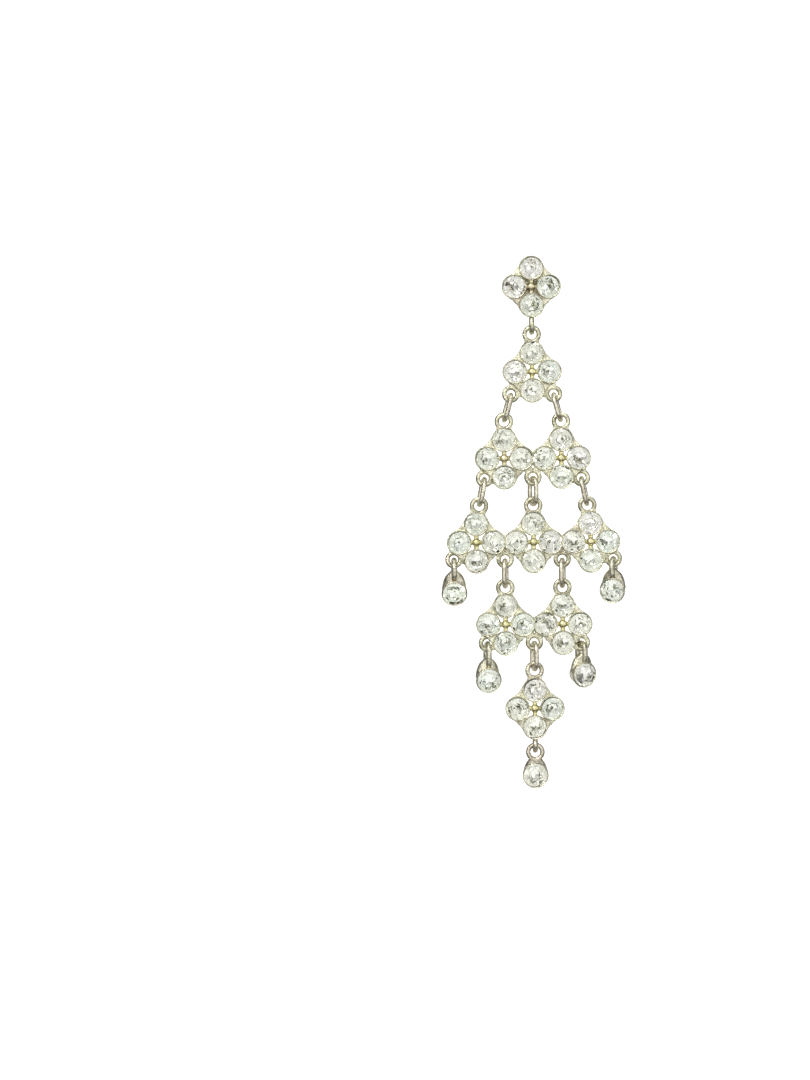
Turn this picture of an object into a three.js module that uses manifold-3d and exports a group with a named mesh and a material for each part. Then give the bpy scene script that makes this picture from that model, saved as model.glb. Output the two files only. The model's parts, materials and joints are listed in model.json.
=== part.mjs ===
// A chandelier earring in its hanging form, in millimetres, with +Z up and the front facing -Y.
// The origin is on the back of the round pad, where the ear post goes into the lobe.
// A stud and five tiers are cast frames of stone-set flowers: the cups, webs, rings and bail of a
// frame are one piece of metal. The first tier hangs on the stud's bail, the others hang from one
// another on oval links, and five single stones hang as drops with loops of their own.
import * as THREE from "three";
import { mergeVertices } from "three/addons/utils/BufferGeometryUtils.js";
import Module from "manifold-3d";

const wasm = await Module();
wasm.setup();

// Depths run forwards, towards -Y, from the flat back of a frame.
const FRAME_BACK_Y = -0.55;

const STONE = {
  radius: 1.78,
  tableRadius: 1.0,
  culetDepth: 0.5,
  girdleDepth: 1.8,
  tableDepth: 2.5,
};
const CUP = { radius: 2.1, backRadius: 1.9, bore: 1.88, floor: 0.35, depth: 2.0 };
// Stones and cups are round, and are made with eight sides.
const ROUND_SIDES = 8;

// A flower is four cups round a small bead, held by spokes and by webs in its outer corners.
const FLOWER = { across: 2.9, up: 3.14, pitch: 9.6, beadRadius: 0.7, beadDepth: 1.4 };
const SPOKE = { width: 0.68, back: 1.05, front: 1.5 };
const WEB = { back: 0, front: 1.6, cornerRadius: 4.0, junctionRadius: 0.4, steps: 2 };
const NUB = { radius: 0.5, across: 2.5, down: 2.45 };
const NECK = { topWidth: 2.0, bottomWidth: 1.5, top: -1.2, bottom: -2.3 };
// The solder that widens the joint of a top ring and the cup below it.
const RING_FOOT = { topWidth: 1.9, bottomWidth: 2.5, low: 4.8, belowRing: 0.9, back: 0.6, front: 1.4 };
// The four stones of a flower share a thin cross behind the spokes, in channels of the cups.
const CROSS = { width: 0.3, back: 0.6, front: 0.85, channel: 0.7, channelFront: 0.95 };

// Round wire rings lie in the plane of the frames. Links and drop loops stand across them.
const RING_DEPTH = 1.0;
const TOP_RING = { radius: 1.2, wire: 0.4 };
const LOWER_RING = { radius: 1.1, wire: 0.4 };
const RING_STEPS = 10;
const WIRE_SIDES = 5;
const LINK = { halfWidth: 1.3, wire: 0.42, pitch: 4.75, steps: 14, play: 0.16 };
const BAIL = { halfWidth: 1.08, wire: 0.46, play: 0.03 };

const POST = { padRadius: 2.4, padThick: 0.5, radius: 0.4, length: 11, pointRadius: 0.2, sides: 12 };
// The groove near the post's tip that a clutch snaps into, as distances from the tip.
const GROOVE = { radius: 0.3, start: 1.1, floorStart: 1.3, floorEnd: 1.6, end: 1.8, pointEnd: 0.3 };

const DROP = {
  radius: 2.2,
  backRadius: 1.8,
  bore: 1.98,
  floor: 0.4,
  depth: 2.5,
  stoneRadius: 1.88,
  middle: 1.2,
  wire: 0.48,
  shoulderThick: 1.6,
};
// Half the width of a drop's shoulders at each height above its stone, up to its loop or ring.
const SIDE_SHOULDERS = [[1.9, 1.1], [1.7, 2.05], [1.4, 2.7], [0.75, 3.3], [0.5, 3.6]];
const LAST_SHOULDERS = [[1.9, 1.1], [1.55, 2.05], [1.2, 2.6], [1.1, 2.9]];

// One row for each tier: how many flowers, how far its top rings stand above the flowers and
// move inwards, and where its lower rings lie, measured from the nearest flower or junction.
const TIERS = [
  { name: "tier_1", flowers: 1, ringUp: 6.3, inset: 0, outerX: 3.6, outerZ: -3.75 },
  { name: "tier_2", flowers: 2, ringUp: 6.2, inset: 0, outerX: 3.35, outerZ: -3.35, middleZ: -3.2 },
  { name: "tier_3", flowers: 3, ringUp: 6.15, inset: 0.5, outerX: 3.8, outerZ: -2.85, middleZ: -2.9 },
  { name: "tier_4", flowers: 2, ringUp: 6.15, inset: 0, outerX: 3.1, outerZ: -3.17, middleZ: -3.05 },
  { name: "tier_5", flowers: 1, ringUp: 6.35, inset: 0 },
];
const STUD_RING_DROP = 8.0;
const LAST_RING_DROP = 7.35;

// One row for each side drop: its tier, its side, how far its stone hangs below the ring, and
// how many degrees it has turned and its cup leans down.
const SIDE_DROPS = [
  { tier: "tier_3", side: "left", below: 5.3, turn: 2, lean: 20 },
  { tier: "tier_3", side: "right", below: 5.2, turn: -14, lean: 10 },
  { tier: "tier_4", side: "left", below: 5.9, turn: 10, lean: 16 },
  { tier: "tier_4", side: "right", below: 5.2, turn: 26, lean: 10 },
];
const LAST_DROP_BELOW = 3.85;
// How many degrees each link has turned on its rings, from left to right. Turned to +, a link's
// front strand moves right, and the middle link of tier 2 shows its oval opening.
const LINK_TURNS = { tier_1: [8, -8], tier_2: [8, 22, -8], tier_3: [-9, -10], tier_4: [14] };

const METAL = new THREE.MeshStandardMaterial({
  color: 0xcfc8a2,
  roughness: 0.3,
  metalness: 1,
});
const GLASS = new THREE.MeshStandardMaterial({
  color: 0xe6ecea,
  roughness: 0.05,
  metalness: 0,
});

// ---- solids ----

// A closed geometry as a manifold-3d solid, turned round if its faces point inwards.
function solidOf(geometry) {
  const bare = geometry.clone();
  bare.deleteAttribute("normal");
  bare.deleteAttribute("uv");
  const merged = mergeVertices(bare, 1e-4);
  const corners = new Uint32Array(merged.index.array);
  const make = () => {
    const vertProperties = new Float32Array(merged.attributes.position.array);
    return new wasm.Manifold(new wasm.Mesh({ numProp: 3, vertProperties, triVerts: corners }));
  };
  const solid = make();
  if (solid.volume() > 0) {
    return solid;
  }
  for (let i = 0; i < corners.length; i += 3) {
    [corners[i + 1], corners[i + 2]] = [corners[i + 2], corners[i + 1]];
  }
  return make();
}

// A solid as a named mesh, placed in the object.
function meshOf(name, solid, material, z) {
  const data = solid.getMesh();
  const geometry = new THREE.BufferGeometry();
  geometry.setAttribute("position", new THREE.BufferAttribute(data.vertProperties, 3));
  geometry.setIndex(new THREE.BufferAttribute(data.triVerts, 1));
  geometry.computeVertexNormals();
  const mesh = new THREE.Mesh(geometry, material);
  mesh.name = name;
  mesh.position.set(0, FRAME_BACK_Y, z);
  return mesh;
}

function join(solids) {
  return solids.reduce((whole, solid) => whole.add(solid));
}

// A body of revolution about a front-to-back axis, from [radius, depth] pairs.
function turned(profile, sides, x, z) {
  const points = profile.map(([radius, depth]) => new THREE.Vector2(radius, -depth));
  const shape = new THREE.LatheGeometry(points, sides);
  shape.rotateY(Math.PI / sides);
  return shape.translate(x, 0, z);
}

// A flat plate between two depths, from an outline of [x, z] corners.
function plate(outline, back, front) {
  const shape = new THREE.Shape(outline.map(([x, z]) => new THREE.Vector2(x, z)));
  const depth = front - back;
  const solid = new THREE.ExtrudeGeometry(shape, { depth, bevelEnabled: false });
  return solidOf(solid.rotateX(Math.PI / 2).translate(0, -back, 0));
}

function box(width, height, back, front, x, z) {
  const block = new THREE.BoxGeometry(width, front - back, height);
  return solidOf(block.translate(x, -(back + front) / 2, z));
}

// A round wire ring in the plane of the frame.
function ring({ radius, wire }, x, z) {
  const torus = new THREE.TorusGeometry(radius, wire, WIRE_SIDES, RING_STEPS);
  return solidOf(torus.rotateX(Math.PI / 2).translate(x, -RING_DEPTH, z));
}

// Turns a shape drawn in XY so that its X runs along Y and its Y runs along Z.
function acrossFrame(geometry) {
  const basis = new THREE.Matrix4().makeBasis(
    new THREE.Vector3(0, 1, 0),
    new THREE.Vector3(0, 0, 1),
    new THREE.Vector3(1, 0, 0),
  );
  return geometry.applyMatrix4(basis);
}

// An oval wire loop across the frame: a torus whose upper and lower halves are drawn apart.
// Its centre is at the origin, and length is measured between the wire's two far centres.
function ovalLoop(length, halfWidth, wire) {
  const torus = new THREE.TorusGeometry(halfWidth, wire, WIRE_SIDES, LINK.steps);
  torus.rotateZ(Math.PI / LINK.steps);
  const place = torus.getAttribute("position");
  const apart = length / 2 - halfWidth;
  for (let i = 0; i < place.count; i++) {
    place.setY(i, place.getY(i) + Math.sign(place.getY(i)) * apart);
  }
  return acrossFrame(torus);
}

// ---- flowers ----

function cupCentres(flowerX) {
  return [
    [flowerX, FLOWER.up],
    [flowerX - FLOWER.across, 0],
    [flowerX + FLOWER.across, 0],
    [flowerX, -FLOWER.up],
  ];
}

// The web that fills the corner to the left of the line from one cup to the next, with a round
// hollow edge that touches both cups.
function web(from, to, hollow) {
  const a = new THREE.Vector2(...from);
  const b = new THREE.Vector2(...to);
  const half = a.distanceTo(b) / 2;
  const along = b.clone().sub(a).normalize();
  const outward = new THREE.Vector2(-along.y, along.x);
  const reach = CUP.radius + hollow;
  const centre = a
    .clone()
    .addScaledVector(along, half)
    .addScaledVector(outward, Math.sqrt(reach * reach - half * half));
  const start = a.clone().sub(centre).angle();
  const sweep = b.clone().sub(centre).angle() - start;
  const turn = Math.atan2(Math.sin(sweep), Math.cos(sweep));
  const outline = [from];
  for (let i = 0; i <= WEB.steps; i++) {
    const angle = start + (turn * i) / WEB.steps;
    outline.push([centre.x + hollow * Math.cos(angle), centre.y + hollow * Math.sin(angle)]);
  }
  outline.push(to);
  return plate(outline, WEB.back, WEB.front);
}

function nub(x, z) {
  const ball = new THREE.OctahedronGeometry(NUB.radius);
  return solidOf(ball.translate(x, -RING_DEPTH, z));
}

// The outside of a tapered cup, and the bore that leaves its wall and floor.
function cupOutside({ radius, backRadius, depth }) {
  return [[0, 0], [backRadius, 0], [radius, depth], [0, depth]];
}

function cupBore({ radius, backRadius, bore, floor, depth }) {
  const wall = radius - bore;
  const mouth = depth + wall;
  return [[0, floor], [backRadius - wall, floor], [bore, depth], [bore, mouth], [0, mouth]];
}

function flowerMetal(x) {
  const [top, left, right, bottom] = cupCentres(x);
  const outside = cupOutside(CUP);
  const cups = cupCentres(x).map(([cx, cz]) => solidOf(turned(outside, ROUND_SIDES, cx, cz)));
  const corners = [[left, top], [top, right], [right, bottom], [bottom, left]];
  const webs = corners.map(([from, to]) => web(from, to, WEB.cornerRadius));
  const { across, up, beadRadius, beadDepth } = FLOWER;
  const bead = new THREE.OctahedronGeometry(beadRadius).translate(x, -beadDepth, 0);
  const spokes = [
    box(2 * across, SPOKE.width, SPOKE.back, SPOKE.front, x, 0),
    box(SPOKE.width, 2 * up, SPOKE.back, SPOKE.front, x, 0),
  ];
  return join([...cups, ...webs, solidOf(bead), ...spokes]);
}

// What is cut from a flower: the bores of its cups and the channels of the stones' cross.
function flowerHollow(x) {
  const bore = cupBore(CUP);
  const bores = cupCentres(x).map(([cx, cz]) => solidOf(turned(bore, ROUND_SIDES, cx, cz)));
  const { channel, channelFront } = CROSS;
  const channels = [
    box(2 * FLOWER.across, channel, CUP.floor, channelFront, x, 0),
    box(channel, 2 * FLOWER.up, CUP.floor, channelFront, x, 0),
  ];
  return join([...bores, ...channels]);
}

// A cut stone: a point at the back, a girdle and a flat table.
function stone(x, z, radius, shift) {
  const { tableRadius, culetDepth, girdleDepth, tableDepth } = STONE;
  const profile = [
    [0, culetDepth + shift],
    [radius, girdleDepth + shift],
    [tableRadius, tableDepth + shift],
    [0, tableDepth + shift],
  ];
  return solidOf(turned(profile, ROUND_SIDES, x, z));
}

function flowerStones(x) {
  const stones = cupCentres(x).map(([cx, cz]) => stone(cx, cz, STONE.radius, 0));
  const cross = [
    box(2 * FLOWER.across, CROSS.width, CROSS.back, CROSS.front, x, 0),
    box(CROSS.width, 2 * FLOWER.up, CROSS.back, CROSS.front, x, 0),
  ];
  return join([...stones, ...cross]);
}

// ---- frames ----

function flowerPlaces(count) {
  return Array.from({ length: count }, (_, i) => (i - (count - 1) / 2) * FLOWER.pitch);
}

function topRingPlaces(tier) {
  return flowerPlaces(tier.flowers).map((x) => [x - Math.sign(x) * tier.inset, tier.ringUp]);
}

// The lower rings of a tier from left to right: the two outer ones and one under each junction.
function lowerRingPlaces(tier) {
  if (!tier.outerX) {
    return [];
  }
  const outer = flowerPlaces(tier.flowers).at(-1) + tier.outerX;
  const middle = flowerPlaces(tier.flowers - 1).map((x) => [x, tier.middleZ]);
  return [[-outer, tier.outerZ], ...middle, [outer, tier.outerZ]];
}

// A wire loop across the frame, from inside the lowest cup to below the wire of the ring that
// hangs in it.
function bail(hingeZ) {
  const top = -FLOWER.up - CUP.radius;
  const low = hingeZ - TOP_RING.wire - BAIL.wire - BAIL.play;
  const loop = ovalLoop(top - low, BAIL.halfWidth, BAIL.wire);
  return solidOf(loop.translate(0, -RING_DEPTH, (top + low) / 2));
}

function ringFoot(x, ringX, ringZ) {
  const { topWidth, bottomWidth, low, belowRing, back, front } = RING_FOOT;
  const outline = [
    [x - bottomWidth / 2, low],
    [x + bottomWidth / 2, low],
    [ringX + topWidth / 2, ringZ - belowRing],
    [ringX - topWidth / 2, ringZ - belowRing],
  ];
  return plate(outline, back, front);
}

// The cast metal of a row of flowers, with its rings, webs, nubs and, where it has one, its bail.
function frame({ flowers, topRings, lowerRings, hingeZ }) {
  const places = flowerPlaces(flowers);
  const junctions = flowerPlaces(flowers - 1);
  const pieces = places.map(flowerMetal);
  const beside = FLOWER.pitch / 2 - FLOWER.across;
  for (const x of junctions) {
    pieces.push(web([x - beside, 0], [x + beside, 0], WEB.junctionRadius));
    const { topWidth, bottomWidth, top, bottom } = NECK;
    const neck = [
      [x - bottomWidth / 2, bottom],
      [x + bottomWidth / 2, bottom],
      [x + topWidth / 2, top],
      [x - topWidth / 2, top],
    ];
    pieces.push(plate(neck, WEB.back, WEB.front));
  }
  for (const x of places) {
    pieces.push(nub(x - NUB.across, -NUB.down), nub(x + NUB.across, -NUB.down));
  }
  topRings.forEach(([x, z], i) => pieces.push(ring(TOP_RING, x, z), ringFoot(places[i], x, z)));
  pieces.push(...lowerRings.map(([x, z]) => ring(LOWER_RING, x, z)));
  if (hingeZ) {
    pieces.push(bail(hingeZ));
  }
  return join(pieces).subtract(join(places.map(flowerHollow)));
}

// ---- links, drops and post ----

// The link between a lower ring and the top ring of the next tier, in the object's own frame.
function link(upper, lower, turn) {
  const a = new THREE.Vector2(...upper);
  const b = new THREE.Vector2(...lower);
  const pull = b.clone().sub(a).normalize();
  const clear = LOWER_RING.wire + LINK.wire + LINK.play;
  const above = LOWER_RING.radius - clear;
  const below = TOP_RING.radius - clear;
  const loop = ovalLoop(LINK.pitch - above - below, LINK.halfWidth, LINK.wire);
  const middle = a.clone().add(b).multiplyScalar(0.5).addScaledVector(pull, (above - below) / 2);
  loop.rotateZ(THREE.MathUtils.degToRad(turn));
  loop.rotateY(Math.atan2(-pull.x, -pull.y));
  return solidOf(loop.translate(middle.x, -RING_DEPTH, middle.y));
}

// A drop's cup about its own middle, before it leans and turns.
function dropCup(lean) {
  return [cupOutside(DROP), cupBore(DROP)].map((profile) => {
    const shape = turned(profile, ROUND_SIDES, 0, 0).translate(0, DROP.middle, 0);
    return solidOf(shape.rotateX(THREE.MathUtils.degToRad(lean)));
  });
}

// The shoulders that carry a drop's loop or ring, from rows of half width and height.
function shoulders(rows) {
  const left = rows.map(([half, height]) => [-half, height]);
  return plate([...rows, ...left.reverse()], -DROP.shoulderThick / 2, DROP.shoulderThick / 2);
}

// A side drop hangs by a loop of its own across the frame, with the stone's centre at below.
function sideDropCup({ below, turn, lean }) {
  const [outside, inside] = dropCup(lean);
  const loopTop = below - LOWER_RING.radius + LOWER_RING.wire + DROP.wire + LINK.play;
  const loopLow = DROP.radius - DROP.wire;
  const loop = ovalLoop(loopTop - loopLow, LINK.halfWidth, DROP.wire);
  const placed = solidOf(loop.translate(0, 0, (loopTop + loopLow) / 2));
  const metal = join([outside, shoulders(SIDE_SHOULDERS), placed]).subtract(inside);
  return metal.rotate([0, 0, turn]);
}

// The last drop has a ring in the plane of the frame, which hangs on the lowest bail.
function lastDropCup() {
  const [outside, inside] = dropCup(0);
  const eye = ring(TOP_RING, 0, LAST_DROP_BELOW).translate([0, RING_DEPTH, 0]);
  return join([outside, shoulders(LAST_SHOULDERS), eye]).subtract(inside);
}

function dropStone({ turn, lean }) {
  const shift = DROP.depth - CUP.depth - DROP.middle;
  return stone(0, 0, DROP.stoneRadius, shift).rotate([lean, 0, turn]);
}

// The plain post: a round pad against the stud's back, and a pin with a groove for its clutch.
function post() {
  const { padRadius, padThick, radius, length, pointRadius, sides } = POST;
  const profile = [
    [0, padThick],
    [padRadius, padThick],
    [padRadius, 0],
    [radius, 0],
    [radius, GROOVE.end - length],
    [GROOVE.radius, GROOVE.floorEnd - length],
    [GROOVE.radius, GROOVE.floorStart - length],
    [radius, GROOVE.start - length],
    [radius, GROOVE.pointEnd - length],
    [pointRadius, -length],
    [0, -length],
  ];
  return solidOf(turned(profile, sides, 0, 0));
}

// ---- the whole earring ----

const earring = new THREE.Group();

function addRow(name, count, z, metal) {
  earring.add(meshOf(name + "_frame", metal, METAL, z));
  flowerPlaces(count).forEach((x, i) => {
    const number = count > 1 ? "_" + (i + 1) : "";
    earring.add(meshOf(name + "_stones" + number, flowerStones(x), GLASS, z));
  });
}

function addDrop(name, cup, gem, x, z) {
  const pieces = [meshOf(name + "_cup", cup, METAL, z), meshOf(name + "_stone", gem, GLASS, z)];
  for (const piece of pieces) {
    piece.position.set(x, FRAME_BACK_Y - RING_DEPTH, z);
    earring.add(piece);
  }
}

// How far below a tier's flowers the next tier's top rings hang: the shortest pair of rings
// and link holds it, and the others have a little play.
function nextRingZ(upperRings, lowerRings) {
  return Math.max(
    ...lowerRings.map(([x], i) => {
      const [upperX, upperZ] = upperRings[i];
      return upperZ - Math.sqrt(LINK.pitch ** 2 - (x - upperX) ** 2);
    }),
  );
}

// The stud, its post and the ring height of the first tier.
const studHinge = -STUD_RING_DROP + TOP_RING.radius;
addRow("stud", 1, 0, frame({ flowers: 1, topRings: [], lowerRings: [], hingeZ: studHinge }));
const postMesh = meshOf("ear_post", post(), METAL, 0);
postMesh.position.y = 0;
earring.add(postMesh);

let ringZ = -STUD_RING_DROP;
TIERS.forEach((tier, index) => {
  const next = TIERS[index + 1];
  const z = ringZ - tier.ringUp;
  const topRings = topRingPlaces(tier);
  const lowerRings = lowerRingPlaces(tier);
  const hingeZ = next ? 0 : -LAST_RING_DROP + TOP_RING.radius;
  addRow(tier.name, tier.flowers, z, frame({ ...tier, topRings, lowerRings, hingeZ }));
  const drops = SIDE_DROPS.filter((drop) => drop.tier === tier.name);
  for (const drop of drops) {
    const [x, below] = drop.side === "left" ? lowerRings[0] : lowerRings.at(-1);
    const name = tier.name + "_drop_" + drop.side;
    addDrop(name, sideDropCup(drop), dropStone(drop), x, z + below - drop.below);
  }
  if (!next) {
    const low = z - LAST_RING_DROP - LAST_DROP_BELOW;
    addDrop(tier.name + "_drop", lastDropCup(), dropStone({ turn: 0, lean: 0 }), 0, low);
    return;
  }
  const free = drops.length ? lowerRings.slice(1, -1) : lowerRings;
  const nextRings = topRingPlaces(next);
  const fall = nextRingZ(free, nextRings);
  free.forEach((from, i) => {
    const wire = link(from, [nextRings[i][0], fall], LINK_TURNS[tier.name][i]);
    earring.add(meshOf(tier.name + "_link_" + (i + 1), wire, METAL, z));
  });
  ringZ = z + fall;
});

export default earring;
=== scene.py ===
"""The looks of a chandelier earring: cast frames, wire links and foiled stones in a pale studio.

Lengths are in millimetres in the making functions, and piece() turns them into metres. Depths
run forwards, towards -Y, from the flat back of the frames.
"""

import json
import math
import random

import bpy
import bmesh
import numpy as np
from mathutils import Matrix, Vector


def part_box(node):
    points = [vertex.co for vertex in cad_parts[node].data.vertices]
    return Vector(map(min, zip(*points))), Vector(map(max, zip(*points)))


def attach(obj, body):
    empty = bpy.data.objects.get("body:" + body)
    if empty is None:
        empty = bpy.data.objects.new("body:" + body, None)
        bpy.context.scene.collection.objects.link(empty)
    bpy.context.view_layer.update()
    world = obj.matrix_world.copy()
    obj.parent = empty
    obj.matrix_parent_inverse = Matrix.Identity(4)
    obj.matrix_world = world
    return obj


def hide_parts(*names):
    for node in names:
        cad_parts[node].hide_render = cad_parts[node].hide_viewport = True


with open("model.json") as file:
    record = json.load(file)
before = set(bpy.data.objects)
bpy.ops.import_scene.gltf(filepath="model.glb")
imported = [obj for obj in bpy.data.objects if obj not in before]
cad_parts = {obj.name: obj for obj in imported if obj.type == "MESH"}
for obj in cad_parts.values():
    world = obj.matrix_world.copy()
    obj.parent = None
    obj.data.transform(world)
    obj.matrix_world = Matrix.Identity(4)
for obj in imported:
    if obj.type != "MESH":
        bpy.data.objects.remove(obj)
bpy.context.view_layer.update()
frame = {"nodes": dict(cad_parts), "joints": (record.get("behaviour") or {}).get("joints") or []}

MM = 0.001

ROWS = ["stud", "tier_1", "tier_2", "tier_3", "tier_4", "tier_5"]
BACK_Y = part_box("tier_2_frame")[1].y / MM
RING_DEPTH = 1.0

FLOWER_ACROSS, FLOWER_UP = 2.9, 3.14
CUP_RADIUS, CUP_BACK_RADIUS, CUP_DEPTH = 2.1, 1.9, 2.0
STONE_RADIUS = 1.88
DROP_RADIUS, DROP_BACK_RADIUS, DROP_DEPTH, DROP_MIDDLE = 2.2, 1.8, 2.5, 1.2
DROP_STONE_RADIUS = 1.98
BEAD_RADIUS, BEAD_SQUASH, BEAD_MIDDLE = 0.72, 0.8, 1.5
SPOKE_ACROSS, SPOKE_UP, SPOKE_MIDDLE = 1.0, 1.25, 1.3
SPOKE_HALF_WIDTH, SPOKE_HALF_DEPTH = 0.4, 0.24
WEB_FRONT, WEB_EDGE = 1.6, 0.14
RING_WEB_FRONT, RING_WEB_BACK = 1.35, 0.65
CORNER_HOLLOW, JUNCTION_HOLLOW, RING_HOLLOW, LOWER_RING_HOLLOW = 4.0, 0.4, 0.55, 0.35
TOP_RING_RADIUS, LOWER_RING_RADIUS, RING_WIRE = 1.2, 1.1, 0.4
LINK_HALF_WIDTH, LINK_WIRE, LINK_PITCH, LINK_PLAY = 1.3, 0.42, 4.75, 0.16
BAIL_HALF_WIDTH, BAIL_WIRE, BAIL_PLAY = 1.08, 0.46, 0.03
DROP_WIRE = 0.48
# A drop's shoulders: half their depth in the thin loop and at the thick cup, and how far the thin
# end stands in front of the thick one.
SHOULDER_THIN, SHOULDER_THICK, SHOULDER_FORWARD = 0.75, 1.05, 0.5
NUB_RADIUS, NUB_ACROSS, NUB_DOWN = 0.46, 2.5, 2.45
LAST_DROP_BELOW = 3.85
# The post: the pin and its groove, the round pad, and the depth past which the pad is plated.
PIN_RADIUS, PIN_LENGTH, GROOVE_RADIUS = 0.4, 11.0, 0.3
PAD_RADIUS, PAD_THICK, PAD_FRONT = 2.4, 0.5, 0.3
# Half the width of a drop's shoulders at each height above its stone.
SIDE_SHOULDERS = [
    (2.12, 0.2),
    (2.05, 0.8),
    (1.92, 1.5),
    (1.72, 2.1),
    (1.42, 2.7),
    (1.0, 3.1),
    (0.68, 3.35),
    (0.52, 3.6),
]
LAST_SHOULDERS = [(2.1, 0.3), (2.02, 0.9), (1.86, 1.5), (1.58, 2.1), (1.28, 2.5), (1.1, 2.8)]

# How far a tier's outer and middle lower rings lie from the nearest flower or junction, and how
# far its top rings move inwards.
RING_PLACES = {
    "tier_1": {"inset": 0, "outer_x": 3.6, "outer_z": -3.75, "middle_z": None},
    "tier_2": {"inset": 0, "outer_x": 3.35, "outer_z": -3.35, "middle_z": -3.2},
    "tier_3": {"inset": 0.5, "outer_x": 3.8, "outer_z": -2.85, "middle_z": -2.9},
    "tier_4": {"inset": 0, "outer_x": 3.1, "outer_z": -3.17, "middle_z": -3.05},
    "tier_5": {"inset": 0, "outer_x": None, "outer_z": None, "middle_z": None},
}
# How far a side drop's stone hangs below its ring, and how far it has turned and leans down.
SIDE_DROPS = {
    ("tier_3", "left"): {"below": 5.3, "turn": 2, "lean": 20},
    ("tier_3", "right"): {"below": 5.2, "turn": -14, "lean": 10},
    ("tier_4", "left"): {"below": 5.9, "turn": 10, "lean": 16},
    ("tier_4", "right"): {"below": 5.2, "turn": 26, "lean": 10},
}
# How many degrees each link has turned on its rings, from left to right.
LINK_TURNS = {"tier_1": [8, -8], "tier_2": [8, 22, -8], "tier_3": [-9, -10], "tier_4": [14]}

# The slope of a stone's back near its girdle in degrees, how uneven its facets are, and how far
# a stone may be tipped in its setting.
STONE_STEEPNESS, STONE_UNEVEN, STONE_TIP = 42.0, 0.08, 4.0
# A stone's table and star as shares of its radius, and its heights above the back of its setting.
TABLE_SHARE, STAR_SHARE = 0.53, 0.77
CULET_DEPTH, GIRDLE_LOW, GIRDLE_HIGH, TABLE_DEPTH = 0.42, 1.76, 1.86, 2.46

# Edges sharper than this, in degrees, aren't smoothed.
SHARP_EDGE = 38.0

RANDOM = random.Random(14)


# ---- mesh parts: (vertices in millimetres, faces) ----


def moved(part, x=0.0, depth=0.0, z=0.0):
    verts, faces = part
    return verts + np.array([x, -depth, z]), faces


def rotated(part, degrees, axis):
    verts, faces = part
    matrix = np.array(Matrix.Rotation(math.radians(degrees), 3, axis))
    return verts @ matrix.T, faces


def joined(parts):
    verts, faces, count = [], [], 0
    for part_verts, part_faces in parts:
        verts.append(part_verts)
        faces += [[i + count for i in face] for face in part_faces]
        count += len(part_verts)
    return np.concatenate(verts), faces


def lathe(profile, steps=48):
    """A closed body of revolution about a front-to-back axis, from (radius, depth) pairs that
    start and end on the axis."""
    verts, rows, faces = [], [], []
    for radius, depth in profile:
        turn = [0] if radius == 0 else [2 * math.pi * i / steps for i in range(steps)]
        rows.append([len(verts) + i for i in range(len(turn))])
        verts += [(radius * math.cos(a), -depth, radius * math.sin(a)) for a in turn]
    for row, after in zip(rows, rows[1:]):
        for i in range(steps):
            j = (i + 1) % steps
            corners = [(row, i), (row, j), (after, j), (after, i)]
            faces.append(list(dict.fromkeys(ring[k % len(ring)] for ring, k in corners)))
    return np.array(verts), faces


def loft(outlines):
    """A solid through closed outlines of equal length, with a flat cap at each end."""
    count = len(outlines[0])
    faces = [list(range(count)), list(range(count * (len(outlines) - 1), count * len(outlines)))]
    for row in range(len(outlines) - 1):
        for i in range(count):
            j = (i + 1) % count
            low, high = row * count, (row + 1) * count
            faces.append([low + i, low + j, high + j, high + i])
    return np.concatenate(outlines), faces


def sweep(path, section, normal):
    """A closed path in the plane with this normal, carrying a section of (in-plane, normal)
    offsets."""
    path, normal = np.array(path), np.array(normal, float)
    along = np.roll(path, -1, axis=0) - np.roll(path, 1, axis=0)
    along /= np.linalg.norm(along, axis=1)[:, None]
    side = np.cross(along, normal)
    rings = [path + u * side + v * normal for u, v in section]
    verts = np.stack(rings, axis=1).reshape(-1, 3)
    steps, sides = len(path), len(section)
    faces = [
        [
            i * sides + j,
            i * sides + (j + 1) % sides,
            (i + 1) % steps * sides + (j + 1) % sides,
            (i + 1) % steps * sides + j,
        ]
        for i in range(steps)
        for j in range(sides)
    ]
    return verts, faces


def arc(radius, start, end, steps):
    angles = np.radians(np.linspace(start, end, steps + 1))
    return np.stack([radius * np.cos(angles), radius * np.sin(angles)], axis=1)


def round_section(radius, sides=14):
    return arc(radius, 0, 360, sides)[:-1]


def stadium(half_width, low, high, steps=16):
    """(across, up) points of an oval with its round ends centred at low and high."""
    top = arc(half_width, 0, 180, steps) + [0, high]
    bottom = arc(half_width, 180, 360, steps) + [0, low]
    return np.concatenate([top, bottom])


def across_frame(points):
    """(across, up) points as places in the plane that runs front to back."""
    return [(0, a, b) for a, b in points]


def ball(radius, squash=1.0, steps=14):
    profile = arc(radius, -90, 90, steps)
    profile = [(abs(r) if abs(r) > 1e-6 else 0, d * squash) for r, d in profile]
    return lathe(profile, 2 * steps)


def bar(start, end, steps=12):
    """A rounded bar between two (x, z) points, with the section of a spoke."""
    start, end = np.array(start, float), np.array(end, float)
    along = (end - start) / np.linalg.norm(end - start)
    side = np.array([-along[1], along[0]])
    outlines = []
    for place in (start, end):
        outline = []
        for across, forwards in round_section(1.0, steps):
            x, z = place + side * SPOKE_HALF_WIDTH * across
            outline.append((x, -SPOKE_MIDDLE - SPOKE_HALF_DEPTH * forwards, z))
        outlines.append(np.array(outline))
    return loft(outlines)


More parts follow.
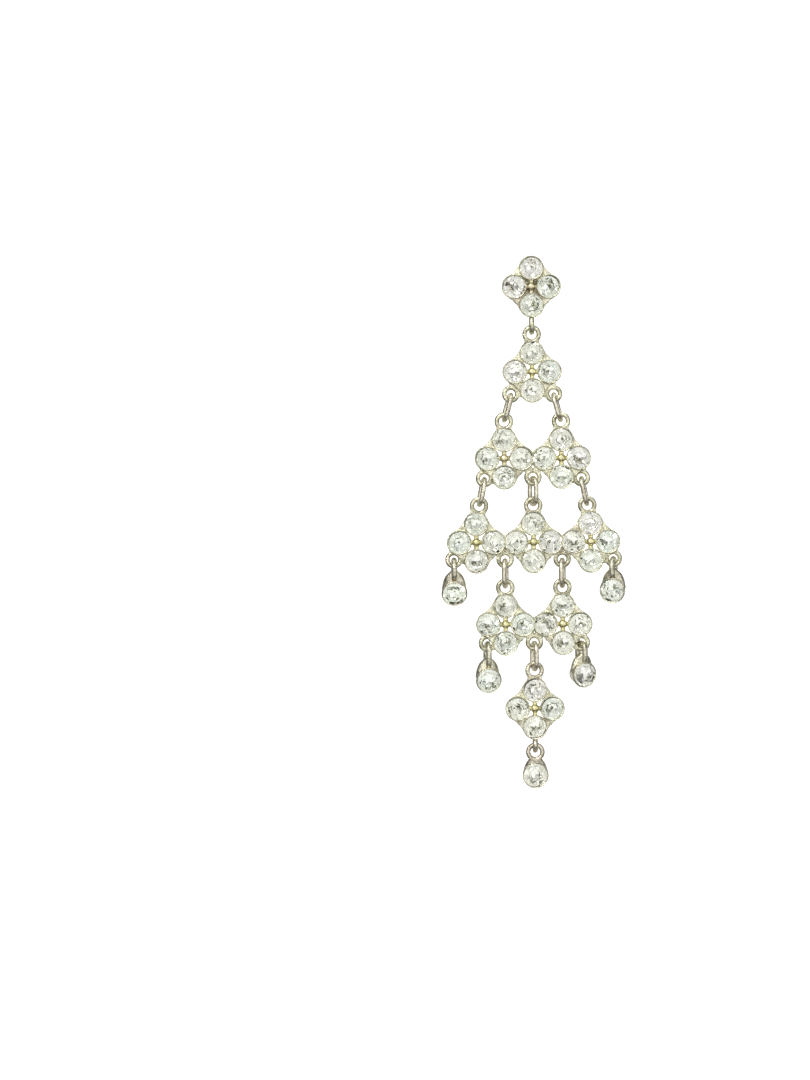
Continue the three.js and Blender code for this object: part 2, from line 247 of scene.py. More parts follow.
def fillet(first, second, hollow, front=WEB_FRONT, back=0.0):
    """A plate that fills the corner between two round bodies, to the left of the line from the
    first to the second, with a round hollow edge that touches both. A body is (x, z, radius,
    inner radius): the plate reaches in to the inner radius, which the body's own metal hides."""
    a, b = np.array(first[:2], float), np.array(second[:2], float)
    gap = np.linalg.norm(b - a)
    reach_a, reach_b = first[2] + hollow, second[2] + hollow
    along = (b - a) / gap
    outward = np.array([-along[1], along[0]])
    ahead = (gap**2 + reach_a**2 - reach_b**2) / (2 * gap)
    centre = a + along * ahead + outward * math.sqrt(max(reach_a**2 - ahead**2, 0))
    hollow_edge = turn_between(centre, a, b)
    inside_b = [b + second[3] * way for way in turn_between(b, centre, a, 6)]
    inside_a = [a + first[3] * way for way in turn_between(a, b, centre, 6)]
    turns = np.radians([0, 30, 60, 90])
    rounding = [(WEB_EDGE * (1 - math.sin(t)), WEB_EDGE * (1 - math.cos(t))) for t in turns]
    levels = [(back + rise, inset) for inset, rise in rounding]
    levels += [(front - rise, inset) for inset, rise in reversed(rounding)]
    outlines = []
    for depth, inset in levels:
        points = [*[centre + (hollow + inset) * way for way in hollow_edge], *inside_b, *inside_a]
        outlines.append(np.array([(x, -depth, z) for x, z in points]))
    return loft(outlines)


def turn_between(centre, first, second, steps=14):
    """Unit (x, z) directions from a centre, turning the short way from one point to another."""
    start = math.atan2(*(first - centre)[::-1])
    sweep_angle = math.atan2(*(second - centre)[::-1]) - start
    sweep_angle = math.atan2(math.sin(sweep_angle), math.cos(sweep_angle))
    angles = [start + sweep_angle * i / steps for i in range(steps + 1)]
    return [np.array([math.cos(t), math.sin(t)]) for t in angles]


def mesh_object(name, part, scale=1.0, kinds=None):
    """A part as an object with its faces turned outwards. A face's kind is the number of its
    material."""
    verts, faces = part
    mesh = bpy.data.meshes.new(name)
    mesh.from_pydata((np.asarray(verts) * scale).tolist(), [], faces)
    if kinds:
        mesh.polygons.foreach_set("material_index", kinds)
    cleaned = bmesh.new()
    cleaned.from_mesh(mesh)
    bmesh.ops.recalc_face_normals(cleaned, faces=cleaned.faces)
    cleaned.to_mesh(mesh)
    cleaned.free()
    made = bpy.data.objects.new(name, mesh)
    bpy.context.scene.collection.objects.link(made)
    return made


def carved(part, hollow):
    """A part with another part's volume taken out of it."""
    block, cutter = mesh_object("block", part), mesh_object("cutter", hollow)
    cut = block.modifiers.new("cut", "BOOLEAN")
    cut.operation, cut.solver, cut.object = "DIFFERENCE", "EXACT", cutter
    bpy.context.view_layer.update()
    result = block.evaluated_get(bpy.context.evaluated_depsgraph_get()).data
    verts = np.array([vertex.co[:] for vertex in result.vertices])
    faces = [list(face.vertices) for face in result.polygons]
    for made in (block, cutter):
        mesh = made.data
        bpy.data.objects.remove(made)
        bpy.data.meshes.remove(mesh)
    return verts, faces


# ---- parts of the earring, in the frame of one row ----


def cup_profile(radius, back_radius, depth, stone_radius):
    """A setting: a flat back with a small edge, a tapered wall, a rolled lip and a bore."""
    wall = [
        (0, 0),
        (back_radius - 0.62, 0),
        (back_radius - 0.56, 0.05),
        (back_radius - 0.16, 0.05),
        (back_radius - 0.04, 0.1),
        (back_radius, 0.2),
    ]
    lip_low = depth - 0.42
    taper = (radius - back_radius) / depth
    neck = back_radius + taper * lip_low - 0.03
    lip = [
        (neck, lip_low),
        (radius - 0.015, lip_low + 0.07),
        (radius, lip_low + 0.2),
        (radius - 0.02, depth - 0.08),
        (radius - 0.06, depth - 0.01),
        (radius - 0.12, depth + 0.02),
        (radius - 0.19, depth),
        (stone_radius - 0.04, depth - 0.05),
        (stone_radius - 0.05, depth - 0.1),
    ]
    bore = [
        (stone_radius + 0.02, depth - 0.15),
        (stone_radius + 0.02, depth - 0.5),
        (0.5, 0.36),
        (0, 0.36),
    ]
    return [*wall, *lip, *bore]


def cup_centres(x):
    return {
        "top": (x, FLOWER_UP),
        "left": (x - FLOWER_ACROSS, 0),
        "right": (x + FLOWER_ACROSS, 0),
        "bottom": (x, -FLOWER_UP),
    }


def wire_ring(radius, x, z):
    path = [(a + x, -RING_DEPTH, b + z) for a, b in round_section(radius, 40)]
    return sweep(path, round_section(RING_WIRE), (0, 1, 0))


def round_cup(x, z, radius=CUP_RADIUS, inner=CUP_BACK_RADIUS - 0.02):
    return (x, z, radius, inner)


def ring_fillets(cup, x, z, ring_radius, hollow=RING_HOLLOW):
    """The two small webs that solder a ring to a cup, one on each side."""
    ring = (x, z, ring_radius + RING_WIRE, ring_radius)
    ends = [(cup, ring), (ring, cup)]
    return [fillet(a, b, hollow, RING_WEB_FRONT, RING_WEB_BACK) for a, b in ends]


def flower(x):
    profile = cup_profile(CUP_RADIUS, CUP_BACK_RADIUS, CUP_DEPTH, STONE_RADIUS)
    centres = cup_centres(x)
    parts = [moved(lathe(profile), cx, 0, cz) for cx, cz in centres.values()]
    for a, b in (("left", "top"), ("top", "right"), ("right", "bottom"), ("bottom", "left")):
        parts.append(fillet(round_cup(*centres[a]), round_cup(*centres[b]), CORNER_HOLLOW))
    for side in (-1, 1):
        parts.append(moved(ball(NUB_RADIUS), x + side * NUB_ACROSS, RING_DEPTH, -NUB_DOWN))
    return parts


def flower_centre(x):
    """The small bead in the middle of a flower, and its four spokes."""
    bead = moved(ball(BEAD_RADIUS, BEAD_SQUASH), x, BEAD_MIDDLE, 0)
    ends = [((x - SPOKE_ACROSS, 0), (x + SPOKE_ACROSS, 0)), ((x, -SPOKE_UP), (x, SPOKE_UP))]
    return [bead, *(bar(*pair) for pair in ends)]


def bail(hinge_z):
    top = -FLOWER_UP - CUP_RADIUS - BAIL_HALF_WIDTH
    low = hinge_z - RING_WIRE - BAIL_WIRE - BAIL_PLAY + BAIL_HALF_WIDTH
    path = across_frame(stadium(BAIL_HALF_WIDTH, low, top))
    return moved(sweep(path, round_section(BAIL_WIRE), (1, 0, 0)), 0, RING_DEPTH, 0)


def casting(flowers, top_rings, lower_rings, hinge_z):
    """The metal of a row of flowers with its rings, webs, nubs and bail."""
    parts = [part for x in flowers for part in flower(x)]
    junctions = [(a + b) / 2 for a, b in zip(flowers, flowers[1:])]
    beside = (flowers[-1] - flowers[0]) / max(2 * len(junctions), 1) - FLOWER_ACROSS
    for x in junctions:
        left, right = round_cup(x - beside, 0), round_cup(x + beside, 0)
        parts.append(fillet(left, right, JUNCTION_HOLLOW))
        parts.append(fillet(right, left, JUNCTION_HOLLOW))
    for x, z in top_rings:
        parts.append(wire_ring(TOP_RING_RADIUS, x, z))
        nearest = min(flowers, key=lambda flower_x: abs(flower_x - x))
        parts += ring_fillets(round_cup(nearest, FLOWER_UP), x, z, TOP_RING_RADIUS)
    for x, z in lower_rings:
        parts.append(wire_ring(LOWER_RING_RADIUS, x, z))
        cups = [cup for flower_x in flowers for cup in cup_centres(flower_x).values()]
        near = sorted(cups, key=lambda cup: math.dist(cup, (x, z)))[:2]
        for cup in near:
            parts += ring_fillets(round_cup(*cup), x, z, LOWER_RING_RADIUS, LOWER_RING_HOLLOW)
    if hinge_z is not None:
        parts.append(bail(hinge_z))
    return joined(parts)


def link(upper, lower, turn):
    """The wire link from a lower ring to the ring below it, both (x, z)."""
    a, b = np.array(upper, float), np.array(lower, float)
    pull = (b - a) / np.linalg.norm(b - a)
    clear = RING_WIRE + LINK_WIRE + LINK_PLAY
    above, below = LOWER_RING_RADIUS - clear, TOP_RING_RADIUS - clear
    half = (LINK_PITCH - above - below) / 2 - LINK_HALF_WIDTH
    path = across_frame(stadium(LINK_HALF_WIDTH, -half, half))
    middle = (a + b) / 2 + pull * (above - below) / 2
    loop = rotated(sweep(path, round_section(LINK_WIRE), (1, 0, 0)), turn, "Z")
    loop = rotated(loop, math.degrees(math.atan2(-pull[0], -pull[1])), "Y")
    return moved(loop, middle[0], RING_DEPTH, middle[1])


def drop_neck(rows):
    """The soft shoulders that rise from a drop's cup into its loop or ring, from rows of half
    width and height above the stone."""
    half_widths, heights = zip(*rows)
    outlines = []
    for height in np.linspace(heights[0], heights[-1], 15):
        half_width = np.interp(height, heights, half_widths)
        share = (half_width - half_widths[-1]) / (half_widths[0] - half_widths[-1])
        half_depth = SHOULDER_THIN + (SHOULDER_THICK - SHOULDER_THIN) * share
        forward = SHOULDER_FORWARD * (1 - share)
        ellipse = round_section(1.0, 28) * [half_width, half_depth]
        outlines.append(np.array([(x, y - forward, height) for x, y in ellipse]))
    return loft(outlines)


def drop_body(lean, shoulder_rows):
    """A drop's cup, and the shoulders above it with the cup's hollow taken out of them."""
    profile = cup_profile(DROP_RADIUS, DROP_BACK_RADIUS, DROP_DEPTH, DROP_STONE_RADIUS)
    cup = rotated(moved(lathe(profile, 56), 0, -DROP_MIDDLE, 0), lean, "X")
    low, wide, high = (1.7, 0.3), DROP_STONE_RADIUS + 0.07, DROP_DEPTH - 0.1
    hollow = lathe([(0, low[1]), low, (wide, high), (wide, 2 * DROP_DEPTH), (0, 2 * DROP_DEPTH)])
    hollow = rotated(moved(hollow, 0, -DROP_MIDDLE, 0), lean, "X")
    return [cup, carved(drop_neck(shoulder_rows), hollow)]


def side_drop(below, turn, lean):
    loop_top = below - LOWER_RING_RADIUS + RING_WIRE + DROP_WIRE + LINK_PLAY
    loop_low = DROP_RADIUS - DROP_WIRE
    low, high = loop_low + LINK_HALF_WIDTH, loop_top - LINK_HALF_WIDTH
    path = across_frame(stadium(LINK_HALF_WIDTH, low, high))
    loop = sweep(path, round_section(DROP_WIRE), (1, 0, 0))
    return rotated(joined([*drop_body(lean, SIDE_SHOULDERS), loop]), turn, "Z")


def last_drop():
    ring = moved(wire_ring(TOP_RING_RADIUS, 0, LAST_DROP_BELOW), 0, -RING_DEPTH, 0)
    cup = round_cup(0, 0, DROP_RADIUS, DROP_STONE_RADIUS + 0.05)
    webs = ring_fillets(cup, 0, LAST_DROP_BELOW, TOP_RING_RADIUS)
    webs = [moved(part, 0, -RING_DEPTH, 0) for part in webs]
    return joined([*drop_body(0, LAST_SHOULDERS), ring, *webs])


def ear_post():
    """The pad and pin behind the stud, from the pin's tip forwards."""
    pin, pad, thick, end = PIN_RADIUS, PAD_RADIUS, PAD_THICK, -PIN_LENGTH
    turns = np.radians([25, 50, 75, 90])
    tip = [(pin * math.sin(t), end + pin * (1 - math.cos(t))) for t in turns]
    grooved = [
        (pin, end + 1.0),
        (GROOVE_RADIUS, end + 1.25),
        (GROOVE_RADIUS, end + 1.65),
        (pin, end + 1.9),
    ]
    root = [(pin, -0.25), (pin + 0.08, -0.08), (pin + 0.25, 0)]
    disc = [
        (pad - 0.12, 0),
        (pad - 0.03, 0.04),
        (pad, 0.14),
        (pad, thick - 0.08),
        (pad - 0.1, thick),
    ]
    return lathe([(0, end), *tip, *grooved, *root, *disc, (0, thick)])


# ---- stones ----


def facet_between(outer, inner):
    """The triangles between two rings of corners, where the inner one has as many corners, half a
    step on, or half as many."""
    faces, count = [], len(outer)
    if len(inner) == count:
        for i in range(count):
            j = (i + 1) % count
            faces += [[inner[i], outer[i], outer[j]], [inner[i], outer[j], inner[j]]]
        return faces
    for i in range(len(inner)):
        j = (i + 1) % len(inner)
        before, here, after = outer[2 * i - 1], outer[2 * i], outer[2 * i + 1]
        faces += [[inner[i], before, here], [inner[i], here, after], [inner[i], after, inner[j]]]
    return faces


def brilliant(radius):
    """A round brilliant, as (vertices, faces, 0 for a crown face and 1 for a foiled one). Its back
    is steep near the girdle and flatter in the middle, with small irregular facets."""
    verts = []

    def ring(at_radius, depth, count, offset, uneven=0.0):
        start = len(verts)
        for i in range(count):
            angle = 2 * math.pi * (i + offset) / count
            r = at_radius + RANDOM.uniform(-uneven, uneven)
            rise = RANDOM.uniform(-uneven, uneven)
            verts.append((r * math.cos(angle), -depth - rise, r * math.sin(angle)))
        return list(range(start, start + count))

    table_radius, star_radius = TABLE_SHARE * radius, STAR_SHARE * radius
    flat = star_radius * math.cos(math.pi / 8)
    share = (flat - table_radius) / (radius - table_radius)
    star_depth = TABLE_DEPTH + (GIRDLE_HIGH - TABLE_DEPTH) * share
    top = ring(table_radius, TABLE_DEPTH, 8, 0)
    star = ring(star_radius, star_depth, 8, 0.5)
    girdle = ring(radius, GIRDLE_HIGH, 16, 0)
    under = ring(radius, GIRDLE_LOW, 16, 0)
    steep, middle, uneven = 0.72, 0.42, STONE_UNEVEN
    slope = math.tan(math.radians(STONE_STEEPNESS)) * radius
    back = ring(steep * radius, GIRDLE_LOW - slope * (1 - steep), 16, 0.5, uneven)
    inner = ring(middle * radius, GIRDLE_LOW - slope * (1 - middle), 8, 0, uneven)
    point = len(verts)
    verts.append((RANDOM.uniform(-uneven, uneven), -CULET_DEPTH, RANDOM.uniform(-uneven, uneven)))

    crown = [top]
    for i in range(8):
        j, before = (i + 1) % 8, (i - 1) % 8
        here, between, after = 2 * i, 2 * i + 1, (2 * i + 2) % 16
        crown += [
            [top[i], top[j], star[i]],
            [top[i], star[before], girdle[here], star[i]],
            [star[i], girdle[here], girdle[between]],
            [star[i], girdle[between], girdle[after]],
        ]
    for i in range(16):
        j = (i + 1) % 16
        crown.append([girdle[i], girdle[j], under[j], under[i]])
    pavilion = facet_between(under, back) + facet_between(back, inner)
    pavilion += [[point, inner[i], inner[(i + 1) % 8]] for i in range(8)]
    return np.array(verts), crown + pavilion, [0] * len(crown) + [1] * len(pavilion)


# ---- materials ----


def new_material(name):
    material = bpy.data.materials.new(name)
    material.use_nodes = True
    nodes = material.node_tree.nodes
    return material, nodes, material.node_tree.links, nodes["Principled BSDF"]


def noise(nodes, links, place, scale, detail=3.0, rough=0.55):
    node = nodes.new("ShaderNodeTexNoise")
    node.inputs["Scale"].default_value = scale
    node.inputs["Detail"].default_value = detail
    node.inputs["Roughness"].default_value = rough
    links.new(place, node.inputs["Vector"])
    return node.outputs["Fac"]


def map_range(nodes, links, value, from_min, from_max, to_min=0.0, to_max=1.0):
    node = nodes.new("ShaderNodeMapRange")
    for socket, number in zip(node.inputs[1:5], (from_min, from_max, to_min, to_max)):
        socket.default_value = number
    links.new(value, node.inputs["Value"])
    return node.outputs["Result"]


def mix_colour(nodes, links, factor, first, second):
    node = nodes.new("ShaderNodeMix")
    node.data_type = "RGBA"
    links.new(factor, node.inputs[0])
    for socket, colour in ((node.inputs[6], first), (node.inputs[7], second)):
        if isinstance(colour, tuple):
            socket.default_value = (*colour, 1)
        else:
            links.new(colour, socket)
    return node.outputs[2]


# Painted shade darkens the plating between these two places, from behind the front plane to near
# the back one, so its sides and hollows grow darker and browner towards the back.
SHADE_FRONT_Y, SHADE_BACK_Y = -2.5 * MM, -0.9 * MM
# How much of its tarnished colour a patch shows in front and, under full painted shade, at the
# back.
FRONT_PATCHES, SHADED_BACK_PATCHES = 0.72, 0.82
# How fine each pattern is, in features to a metre.
WARM_SCALE, PATCH_SCALE, GRAIN_SCALE, SPECKLE_SCALE = 110, 900, 2400, 2600
WARM_PLATE = (0.87, 0.78, 0.67)


def plated_metal(name, bright, tarnish_and_shade_colour, roughness, back_shade, grain):
    """Polished plating over a casting: bright in front, with painted shade making it duller and
    browner towards the back, and with wide warm areas, soft tarnished patches and a fine cast
    grain."""
    material, nodes, links, shader = new_material(name)
    place = nodes.new("ShaderNodeTexCoord").outputs["Object"]
    split = nodes.new("ShaderNodeSeparateXYZ")
    links.new(place, split.inputs[0])
    far_back = split.outputs["Y"]
    # Painted shade: the plating grows darker and browner towards the back, on side walls and in
    # hollows.
    painted_back_shade = map_range(nodes, links, far_back, SHADE_FRONT_Y, SHADE_BACK_Y, 0.0, back_shade)
    mottle = noise(nodes, links, place, PATCH_SCALE, 5.0, 0.7)
    patches = map_range(nodes, links, mottle, 0.4, 0.62)
    shares = map_range(nodes, links, painted_back_shade, 0, 1, FRONT_PATCHES, SHADED_BACK_PATCHES)
    tarnish_and_shade = nodes.new("ShaderNodeMath")
    tarnish_and_shade.operation = "MULTIPLY"
    links.new(patches, tarnish_and_shade.inputs[0])
    links.new(shares, tarnish_and_shade.inputs[1])
    areas = noise(nodes, links, place, WARM_SCALE, 1.0)
    warmth = map_range(nodes, links, areas, 0.5, 0.75, 0.0, 0.8)
    plate = mix_colour(nodes, links, warmth, bright, WARM_PLATE)
    # Random tarnished patches and painted shade, mixed into the plate colour.
    colour = mix_colour(nodes, links, tarnish_and_shade.outputs[0], plate, tarnish_and_shade_colour)
    links.new(colour, shader.inputs["Base Color"])
    shader.inputs["Metallic"].default_value = 1.0
    speckle = noise(nodes, links, place, SPECKLE_SCALE, 4.0)
    rough = map_range(nodes, links, speckle, 0.3, 0.7, roughness * 0.7, roughness * 1.5)
    links.new(rough, shader.inputs["Roughness"])
    bump = nodes.new("ShaderNodeBump")
    bump.inputs["Strength"].default_value = 0.6
    bump.inputs["Distance"].default_value = grain * MM
    links.new(noise(nodes, links, place, GRAIN_SCALE, 4.0), bump.inputs["Height"])
    links.new(bump.outputs["Normal"], shader.inputs["Normal"])
    return material


def brushed_steel(name):
    material, nodes, links, shader = new_material(name)
    place = nodes.new("ShaderNodeTexCoord").outputs["Object"]
    stretch = nodes.new("ShaderNodeMapping")
    stretch.inputs["Scale"].default_value = (1, 12, 1)
    links.new(place, stretch.inputs["Vector"])
    lines = noise(nodes, links, stretch.outputs["Vector"], 900, 3.0)
    colour = mix_colour(nodes, links, lines, (0.62, 0.62, 0.61), (0.78, 0.78, 0.77))
    links.new(colour, shader.inputs["Base Color"])
    shader.inputs["Metallic"].default_value = 1.0
    links.new(map_range(nodes, links, lines, 0.3, 0.7, 0.22, 0.38), shader.inputs["Roughness"])
    return material


def crystal(name, tint):
    """Clear cut glass with a very faint tint."""
    material, nodes, links, shader = new_material(name)
    place = nodes.new("ShaderNodeTexCoord").outputs["Object"]
    cloud = map_range(nodes, links, noise(nodes, links, place, 600), 0.35, 0.65)
    colour = mix_colour(nodes, links, cloud, tint, (0.98, 0.985, 0.955))
    links.new(colour, shader.inputs["Base Color"])
    shader.inputs["Transmission Weight"].default_value = 1.0
    shader.inputs["IOR"].default_value = 1.56
    shader.inputs["Roughness"].default_value = 0.0
    return material


def foil(name, bright, dim):
    """The silver foil behind a stone, seen through its glass: fine cells of uneven brightness."""
    material, nodes, links, shader = new_material(name)
    place = nodes.new("ShaderNodeTexCoord").outputs["Object"]
    cells = nodes.new("ShaderNodeTexVoronoi")
    cells.inputs["Scale"].default_value = 1500
    links.new(place, cells.inputs["Vector"])
    grey = nodes.new("ShaderNodeRGBToBW")
    links.new(cells.outputs["Color"], grey.inputs[0])
    colour = mix_colour(nodes, links, grey.outputs[0], dim, bright)
    links.new(colour, shader.inputs["Base Color"])
    shader.inputs["Metallic"].default_value = 1.0
    shader.inputs["Roughness"].default_value = 0.08
    return material


# ---- pieces ----


def piece(name, part, materials, body, nodes, smooth=True, kinds=None):
    """A part as a Blender object in metres, riding on a body in place of CAD nodes."""
    made = mesh_object(name, part, MM, kinds)
    mesh = made.data
    for material in materials:
        mesh.materials.append(material)
    if smooth:
        mesh.polygons.foreach_set("use_smooth", [True] * len(mesh.polygons))
        mesh.set_sharp_from_angle(angle=math.radians(SHARP_EDGE))
    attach(made, body)
    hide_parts(*nodes)


# Each plating: its bright colour, its tarnished and painted shade colour, its roughness, how much
# painted shade darkens it at the back, and the height of its grain.
PLATINGS = {
    "champagne_plate": ((0.94, 0.92, 0.71), (0.28, 0.27, 0.17), 0.14, 0.7, 0.28),
    # The link plating is a brighter copy with less painted shade at the back: a painted highlight
    # on the links.
    "link_plate_painted_highlight": ((0.95, 0.91, 0.75), (0.46, 0.41, 0.30), 0.12, 0.35, 0.2),
    # The drop plating is a darker copy with more painted shade at the back: painted shade on the
    # drops' deep cup walls.
    "drop_plate_painted_shade": ((0.88, 0.85, 0.68), (0.34, 0.32, 0.22), 0.15, 0.85, 0.2),
    # The bead plating's yellow tone is its own; its lightness, barely tarnished, is a painted
    # highlight on the beads and their spokes.
    "bead_plate_painted_highlight": ((0.98, 0.93, 0.56), (0.66, 0.60, 0.28), 0.22, 0.2, 0.08),
}
CHAMPAGNE, LINK_PLATE_PAINTED_HIGHLIGHT, DROP_PLATE_PAINTED_SHADE, GOLD_BEAD_PAINTED_HIGHLIGHT = [
    plated_metal(name, *looks) for name, looks in PLATINGS.items()
]
STEEL = brushed_steel("post_steel")
CRYSTALS = [
    crystal("crystal_green", (0.94, 0.99, 0.91)),
    crystal("crystal_olive", (0.97, 0.98, 0.90)),
    crystal("crystal_straw", (0.99, 0.98, 0.92)),
    crystal("crystal_sea", (0.92, 0.99, 0.95)),
    crystal("crystal_violet", (0.98, 0.95, 0.98)),
]
FOIL = foil("stone_foil", (1.0, 1.0, 0.98), (0.75, 0.76, 0.71))


def add_stone(name, radius, x, depth, z, body, node, lean=0.0, turn=0.0, shift=0.0):
    """One stone in its setting, turned and tipped a little as a hand-set stone is."""
    verts, faces, foiled = brilliant(radius)
    part = moved((verts, faces), depth=shift)
    part = rotated(part, RANDOM.uniform(0, 45), "Y")
    part = rotated(part, RANDOM.uniform(-STONE_TIP, STONE_TIP), "X")
    part = rotated(part, RANDOM.uniform(-STONE_TIP, STONE_TIP), "Z")
    part = rotated(rotated(part, lean, "X"), turn, "Z")
    part = moved(part, x, depth, z)
    tinted = CRYSTALS[RANDOM.randrange(len(CRYSTALS))]
    piece(name, part, [tinted, FOIL], body, [node], smooth=False, kinds=foiled)


def middle_of(node):
    low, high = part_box(node)
    return (low + high) / 2 / MM


def stone_nodes(row):
    return sorted(n for n in frame["nodes"] if n.startswith(row + "_stones"))


def row_rings(row, flowers, ring_z):
    """The (x, z) places of a row's top and lower rings, from the middle of its flowers."""
    if row == "stud":
        return [], []
    places = RING_PLACES[row]
    top = [(x - math.copysign(places["inset"], x) if x else 0.0, ring_z) for x in flowers]
    if places["outer_x"] is None:
        return top, []
    outer = flowers[-1] + places["outer_x"]
    junctions = [(a + b) / 2 for a, b in zip(flowers, flowers[1:])]
    middle = [(x, places["middle_z"]) for x in junctions]
    return top, [(-outer, places["outer_z"]), *middle, (outer, places["outer_z"])]


hinge_heights = {j["child"]: j["pos_m"][2] / MM for j in frame["joints"]}
flower_z = {row: middle_of(stone_nodes(row)[0]).z for row in ROWS}
flower_x = {row: [round(middle_of(n).x, 4) for n in stone_nodes(row)] for row in ROWS}
rings = {
    row: row_rings(row, flower_x[row], hinge_heights.get(row, 0) - TOP_RING_RADIUS - flower_z[row])
    for row in ROWS
}
last_drop_z = middle_of("tier_5_drop_stone").z
# The heights of the wires that hang in the two bails.
held_wires = {
    "stud": hinge_heights["tier_1"],
    "tier_5": last_drop_z + LAST_DROP_BELOW + TOP_RING_RADIUS,
}

for row in ROWS:
    z = flower_z[row]
    top_rings, lower_rings = rings[row]
    local_hinge = held_wires[row] - z if row in held_wires else None
    cast_node = [row + "_frame"]
    metal = moved(casting(flower_x[row], top_rings, lower_rings, local_hinge), 0, -BACK_Y, z)
    piece(row + "_casting", metal, [CHAMPAGNE], row, cast_node)
    centres = joined([part for x in flower_x[row] for part in flower_centre(x)])
    # The beads and spokes wear the lighter plating, a painted highlight.
    piece(row + "_beads", moved(centres, 0, -BACK_Y, z), [GOLD_BEAD_PAINTED_HIGHLIGHT], row, cast_node)
    for node, x in zip(stone_nodes(row), flower_x[row]):
        for where, (cx, cz) in cup_centres(x).items():
            add_stone(node + "_" + where, STONE_RADIUS, cx, -BACK_Y, z + cz, row, node)

for row, below in zip(ROWS[1:], ROWS[2:]):
    lower = rings[row][1]
    free = lower if len(lower) == len(flower_x[below]) else lower[1:-1]
    for number, (upper, ring_below) in enumerate(zip(free, rings[below][0]), 1):
        node = f"{row}_link_{number}"
        target = (ring_below[0], ring_below[1] + flower_z[below] - flower_z[row])
        wire = link(upper, target, LINK_TURNS[row][number - 1])
        wire = moved(wire, 0, -BACK_Y, flower_z[row])
        # The links wear the brighter plating, a painted highlight.
        piece(node + "_wire", wire, [LINK_PLATE_PAINTED_HIGHLIGHT], row, [node])

# A drop's stone lies in a deeper setting than a flower's, and turns about the setting's middle.
DROP_SHIFT = DROP_DEPTH - CUP_DEPTH - DROP_MIDDLE
for (row, side), hang in SIDE_DROPS.items():
    x, ring_z = rings[row][1][0 if side == "left" else -1]
    z = flower_z[row] + ring_z - hang["below"]
    name = f"{row}_drop_{side}"
    setting = moved(side_drop(**hang), x, RING_DEPTH - BACK_Y, z)
    # The drop settings wear the darker plating, with painted shade on their cup walls.
    piece(name + "_setting", setting, [DROP_PLATE_PAINTED_SHADE], row, [name + "_cup"])
    add_stone(name + "_gem", DROP_STONE_RADIUS, x, RING_DEPTH - BACK_Y, z, row, name + "_stone",
              hang["lean"], hang["turn"], DROP_SHIFT)

setting = moved(last_drop(), 0, RING_DEPTH - BACK_Y, last_drop_z)
piece("tier_5_drop_setting", setting, [DROP_PLATE_PAINTED_SHADE], "tier_5", ["tier_5_drop_cup"])
add_stone("tier_5_drop_gem", DROP_STONE_RADIUS, 0, RING_DEPTH - BACK_Y, last_drop_z, "tier_5",
          "tier_5_drop_stone", shift=DROP_SHIFT)

post = ear_post()
plated = [int(min(-post[0][i][1] for i in face) > PAD_FRONT) for face in post[1]]
piece("ear_post_pin", post, [STEEL, CHAMPAGNE], "stud", ["ear_post"], kinds=plated)


# ---- studio ----

CAMERA_DISTANCE = 0.75
VIEW_HEIGHT = 0.182
CAMERA_X, CAMERA_Z = -0.0216, -0.0424
# The real earring hangs at a lean of this many degrees. The camera is turned instead of it.
CAMERA_ROLL = 0.5
OBJECT_MIDDLE = (0, 0, -0.043)
FLOOR_Z = -0.16
# The room's greys, from the far side of the object round to its brightest part in front.
BRIGHTEST_WAY = (0.0, -0.94, 0.34)
ROOM_GREYS = [(0.0, 0.8), (0.25, 0.4), (0.5, 0.1), (0.7, 0.2), (0.88, 0.85), (1.0, 1.05)]


def studio_material():
    material, nodes, links, shader = new_material("studio_paper")
    place = nodes.new("ShaderNodeTexCoord").outputs["Object"]
    fibres = noise(nodes, links, place, 60, 4.0)
    links.new(mix_colour(nodes, links, fibres, (0.93, 0.93, 0.93), (0.96, 0.96, 0.955)),
              shader.inputs["Base Color"])
    shader.inputs["Roughness"].default_value = 0.9
    shader.inputs["Emission Color"].default_value = (1, 1, 1, 1)
    shader.inputs["Emission Strength"].default_value = 0.3
    return material


def paper_sweep():
    """A pale floor that curves up into a backdrop, well behind the object."""
    radius, far, front, side, height = 0.5, 1.6, -2.4, 2.4, 1.8
    bend = [(far - radius + radius * math.sin(t), FLOOR_Z + radius * (1 - math.cos(t)))
            for t in np.radians(np.linspace(0, 90, 25))]
    line = [(front, FLOOR_Z), *bend, (far, height)]
    verts = [(x, y, z) for y, z in line for x in (-side, side)]
    faces = [[2 * i, 2 * i + 1, 2 * i + 3, 2 * i + 2] for i in range(len(line) - 1)]
    mesh = bpy.data.meshes.new("paper_sweep")
    mesh.from_pydata(verts, [], faces)
    mesh.polygons.foreach_set("use_smooth", [True] * len(faces))
    mesh.materials.append(studio_material())
    sweep_object = bpy.data.objects.new("paper_sweep", mesh)
    bpy.context.scene.collection.objects.link(sweep_object)
    sweep_object.visible_glossy = False


def softbox(name, place, size, power, colour=(1, 1, 1), target=OBJECT_MIDDLE):
    light = bpy.data.lights.new(name, "AREA")
    light.shape = "RECTANGLE"
    light.size, light.size_y = size
    light.energy = power
    light.color = colour
    made = bpy.data.objects.new(name, light)
    made.location = place
    aim = Vector(target) - Vector(place)
    made.rotation_euler = aim.to_track_quat("-Z", "Y").to_euler()
    made.visible_camera = False
    bpy.context.scene.collection.objects.link(made)


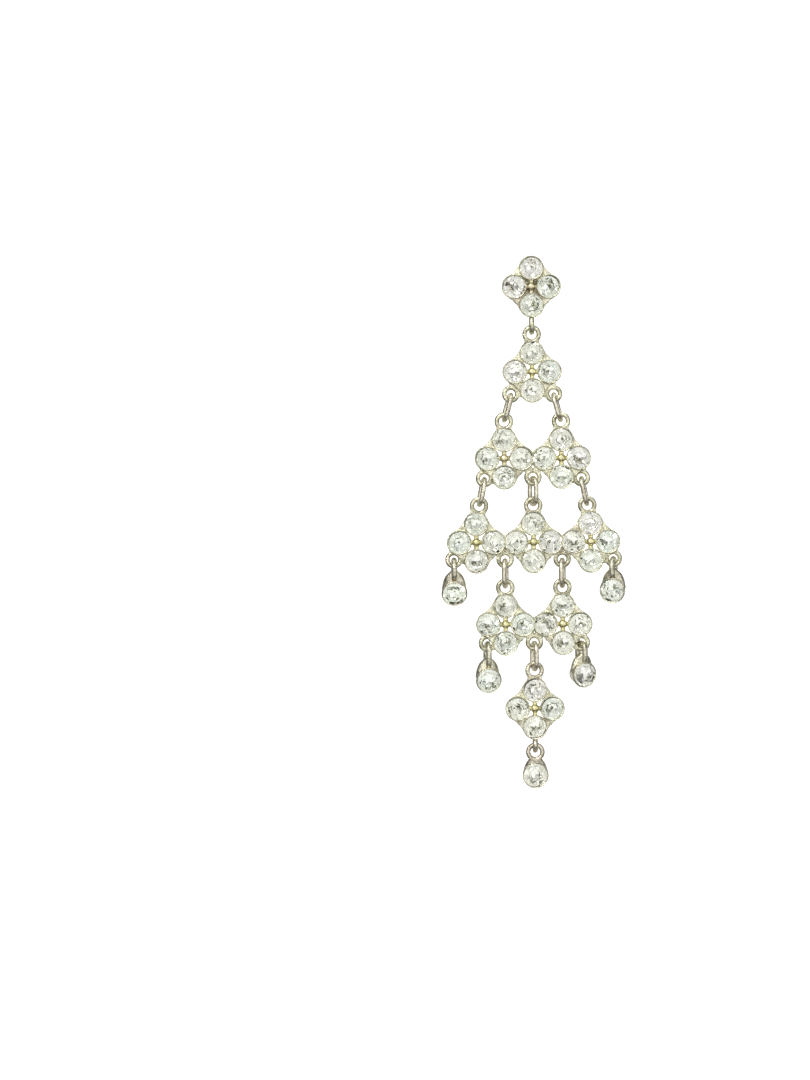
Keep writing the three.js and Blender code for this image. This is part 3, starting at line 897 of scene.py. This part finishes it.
def world_light():
    """A soft room: brightest in front of the object, dark at its sides, dim behind it."""
    world = bpy.data.worlds.new("studio_world")
    bpy.context.scene.world = world
    world.use_nodes = True
    nodes, links = world.node_tree.nodes, world.node_tree.links
    place = nodes.new("ShaderNodeTexCoord").outputs["Generated"]
    towards = nodes.new("ShaderNodeVectorMath")
    towards.operation = "DOT_PRODUCT"
    towards.inputs[1].default_value = BRIGHTEST_WAY
    links.new(place, towards.inputs[0])
    ramp = nodes.new("ShaderNodeValToRGB")
    links.new(map_range(nodes, links, towards.outputs["Value"], -1, 1), ramp.inputs[0])
    for _ in range(len(ROOM_GREYS) - 2):
        ramp.color_ramp.elements.new(0.5)
    for element, (position, grey) in zip(ramp.color_ramp.elements, ROOM_GREYS):
        element.position = position
        element.color = (grey, grey, 0.98 * grey, 1)
    seen = nodes.new("ShaderNodeLightPath").outputs["Is Camera Ray"]
    shown = mix_colour(nodes, links, seen, ramp.outputs["Color"], (0.95, 0.95, 0.95))
    links.new(shown, nodes["Background"].inputs["Color"])
    nodes["Background"].inputs["Strength"].default_value = 1.0


def add_camera():
    data = bpy.data.cameras.new("camera")
    data.sensor_width = 36.0
    data.lens = data.sensor_width * CAMERA_DISTANCE / VIEW_HEIGHT
    data.clip_start, data.clip_end = 0.05, 20.0
    made = bpy.data.objects.new("camera", data)
    made.location = (CAMERA_X, -CAMERA_DISTANCE, CAMERA_Z)
    made.rotation_euler = (math.radians(90), math.radians(CAMERA_ROLL), 0)
    bpy.context.scene.collection.objects.link(made)
    bpy.context.scene.camera = made


paper_sweep()
world_light()
softbox("key_light", (-0.4, -0.75, 0.5), (0.3, 0.3), 1.9, (1.0, 0.98, 0.94))
softbox("fill_light", (0.75, -0.55, 0.05), (0.3, 0.7), 0.6, (0.96, 0.98, 1.0))
softbox("top_light", (0.05, -0.1, 0.75), (0.6, 0.35), 0.8)
softbox("low_light", (-0.2, -0.6, -0.13), (0.5, 0.05), 0.06)
softbox("paper_light", (0, 0.3, 1.2), (1.6, 0.6), 12.0, target=(0, 1.6, 0.1))
add_camera()
bpy.context.scene.view_settings.view_transform = "Standard"
